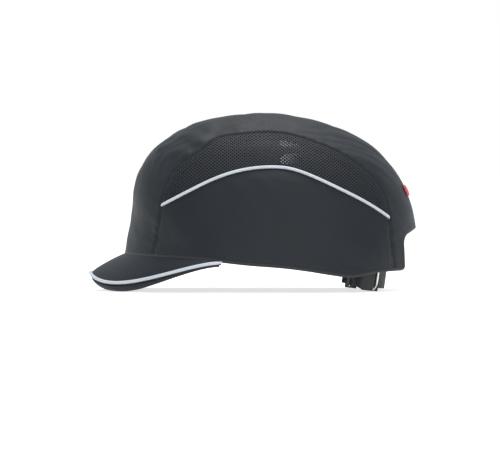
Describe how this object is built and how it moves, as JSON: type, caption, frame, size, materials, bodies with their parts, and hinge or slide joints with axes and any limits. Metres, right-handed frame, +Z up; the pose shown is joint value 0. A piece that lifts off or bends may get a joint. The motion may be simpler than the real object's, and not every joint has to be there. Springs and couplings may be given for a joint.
{
  "type": "bump cap",
  "caption": "Peaked fabric safety cap over a removable padded hard liner, with mesh side panels, a rear opening and an adjustable nape strap.",
  "frame": {"origin": "bottom centre of the cap's bounding box, as it stands on the low edges of its brim and on the nape strap's slider", "axes": "+Z up; the brim points along -X, so the wearer faces -X; +Y is the wearer's right"},
  "size_m": [0.2778, 0.1896, 0.1501],
  "materials": {
    "outer_fabric": "matte",
    "mesh_fabric": "matte",
    "reflective_piping": "satin",
    "binding_tape": "matte",
    "red_tab": "matte",
    "board_plastic": "matte",
    "shell_plastic": "satin",
    "foam": "matte",
    "headband_plastic": "matte",
    "towelling": "matte",
    "anchor_plastic": "satin",
    "rivet_steel": "satin",
    "webbing": "matte",
    "slider_steel": "satin"
  },
  "bodies": {
    "cover": {"crown_panel": "outer_fabric", "side_panel_left": "outer_fabric", "side_panel_right": "outer_fabric", "mesh_panel_left": "mesh_fabric", "mesh_panel_right": "mesh_fabric", "piping_left": "reflective_piping", "piping_right": "reflective_piping", "rim_binding": "binding_tape", "arch_binding": "binding_tape", "seam_tape_left": "binding_tape", "seam_tape_right": "binding_tape", "rear_tab": "red_tab", "brim_top_cover": "outer_fabric", "brim_under_cover": "outer_fabric", "brim_board": "board_plastic", "brim_piping": "reflective_piping"},
    "liner": {"hard_shell": "shell_plastic", "crown_foam": "foam", "front_foam": "foam", "rear_foam": "foam", "side_foam_left": "foam", "side_foam_right": "foam", "headband": "headband_plastic", "headband_pegs": "headband_plastic", "sweatband": "towelling", "strap_anchor_left": "anchor_plastic", "strap_anchor_right": "anchor_plastic", "anchor_rivets": "rivet_steel", "nape_strap": "webbing"},
    "slider": {"slider_frame": "slider_steel", "strap_tail": "webbing"}
  },
  "joints": [
    {"name": "cover_lift", "type": "slide", "parent": "liner", "child": "cover", "axis": [0, 0, 1], "range_m": [0, 0.16]},
    {"name": "strap_adjust", "type": "hinge", "parent": "liner", "child": "slider", "pos_m": [0.0308, 0, 0.0129], "axis": [0.1392, 0, 0.9903], "range_deg": [0, 28], "deforming": ["strap_tail"]}
  ]
}
